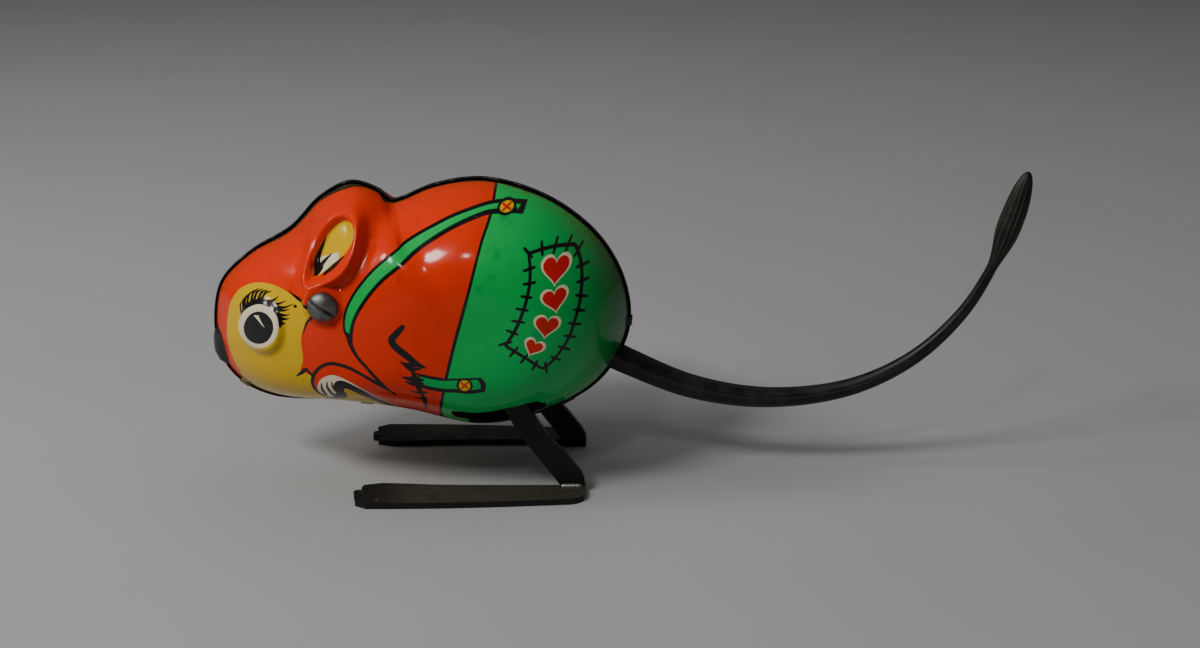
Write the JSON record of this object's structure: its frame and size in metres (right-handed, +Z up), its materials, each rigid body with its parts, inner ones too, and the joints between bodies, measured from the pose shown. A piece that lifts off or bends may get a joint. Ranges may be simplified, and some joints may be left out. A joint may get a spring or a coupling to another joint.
{
  "type": "clockwork jumping mouse toy",
  "caption": "Lithographed tin clockwork mouse that hops on sprung flat feet, with a curved tail, a side winding key and a spring motor inside two half shells.",
  "frame": {"origin": "on the table, under the middle of the bounding box", "axes": "+X from the nose towards the tail, +Z up, the key on the +Y side"},
  "size_m": [0.146, 0.0476, 0.0572],
  "materials": {
    "printed_tin": "lithographed tinplate with a worn gloss varnish",
    "nose_black": "gloss black",
    "tail_rubber": "worn black rubber",
    "leg_steel": "blackened steel, worn brown on top of the feet",
    "steel": "dull bright steel",
    "spring_steel": "blued spring steel",
    "brass": "pressed brass"
  },
  "bodies": {
    "body": {"left_shell": "printed_tin", "right_shell": "printed_tin", "nose": "nose_black", "tail": "tail_rubber", "shell_screw": "steel", "shell_nut": "steel", "left_spacer": "steel", "middle_spacer": "steel", "right_spacer": "steel", "left_frame_plate": "steel", "right_frame_plate": "steel", "front_top_pillar": "steel", "front_bottom_pillar": "steel", "stop_pillar": "steel", "rear_bottom_pillar": "steel", "rear_top_pillar": "steel", "arbor_bush": "brass", "click_stud": "steel", "click_spring": "spring_steel"},
    "barrel": {"spring_barrel": "steel", "barrel_cover": "steel", "barrel_gear": "brass", "mainspring": "spring_steel"},
    "winding": {"winding_arbor": "steel", "winding_key": "steel", "ratchet_wheel": "steel"},
    "click": {"click": "steel"},
    "second": {"second_arbor": "steel", "second_pinion": "brass", "second_wheel": "brass"},
    "cam": {"cam_arbor": "steel", "cam_pinion": "brass", "kick_cam": "steel"},
    "legs": {"leg_shaft": "steel", "left_leg": "leg_steel", "right_leg": "leg_steel", "left_leg_washer": "steel", "right_leg_washer": "steel", "kick_lever": "steel", "leg_spring": "spring_steel"}
  },
  "joints": [
    {"name": "key_turn", "type": "hinge", "parent": "body", "child": "winding", "pos_m": [-0.01527, -0.00581, 0.0385], "axis": [0, -1, 0], "continuous": true},
    {"name": "barrel_turn", "type": "hinge", "parent": "body", "child": "barrel", "pos_m": [-0.01527, -0.00581, 0.0385], "axis": [0, -1, 0], "continuous": true},
    {"name": "second_arbor_turn", "type": "hinge", "parent": "body", "child": "second", "pos_m": [-0.02757, -0.00581, 0.04067], "axis": [0, -1, 0], "continuous": true},
    {"name": "cam_turn", "type": "hinge", "parent": "body", "child": "cam", "pos_m": [-0.03612, -0.00581, 0.03298], "axis": [0, -1, 0], "continuous": true},
    {"name": "click_lift", "type": "hinge", "parent": "body", "child": "click", "pos_m": [-0.01744, -0.00581, 0.04661], "axis": [0, 1, 0], "range_deg": [0, 9], "stiffness_Nm_per_rad": 0.0005, "springref_deg": -28.65},
    {"name": "leg_kick", "type": "hinge", "parent": "body", "child": "legs", "pos_m": [-0.02227, -0.00581, 0.0265], "axis": [0, 1, 0], "range_deg": [0, 25], "stiffness_Nm_per_rad": 0.02, "springref_deg": -45.84}
  ],
  "couplings": [
    {"joint": "second_arbor_turn", "follows": "barrel_turn", "ratio": -4},
    {"joint": "cam_turn", "follows": "barrel_turn", "ratio": 14.4}
  ]
}
